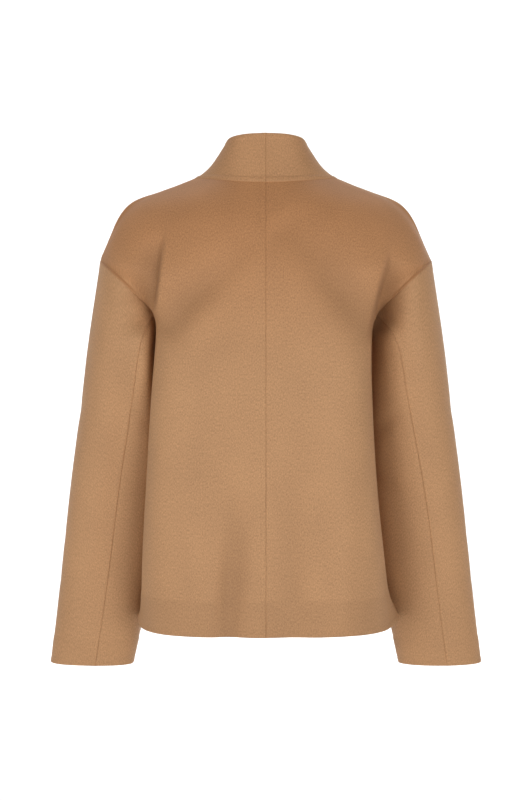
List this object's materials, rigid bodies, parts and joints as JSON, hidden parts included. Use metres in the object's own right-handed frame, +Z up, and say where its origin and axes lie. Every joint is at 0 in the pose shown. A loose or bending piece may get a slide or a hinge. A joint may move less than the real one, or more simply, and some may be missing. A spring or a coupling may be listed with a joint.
{
  "type": "wool jacket",
  "caption": "Boxy hip-length wool jacket with a funnel collar, dropped shoulders, wide two-piece sleeves and an open front, in its worn, hollow shape.",
  "frame": {"origin": "midway between the two neck points, where the shoulder seams meet the collar seam", "axes": "+Z up along the wearer's spine, +Y to the wearer's front, +X to the wearer's right"},
  "size_m": [0.6057, 0.26, 0.7266],
  "materials": {
    "wool": "camel double-faced wool with a short brushed nap"
  },
  "bodies": {
    "root": {"back_left": "wool", "back_right": "wool", "front_left": "wool", "front_right": "wool", "collar_left": "wool", "collar_right": "wool", "sleeve_upper_left": "wool", "sleeve_upper_right": "wool", "sleeve_under_left": "wool", "sleeve_under_right": "wool"}
  },
  "joints": []
}
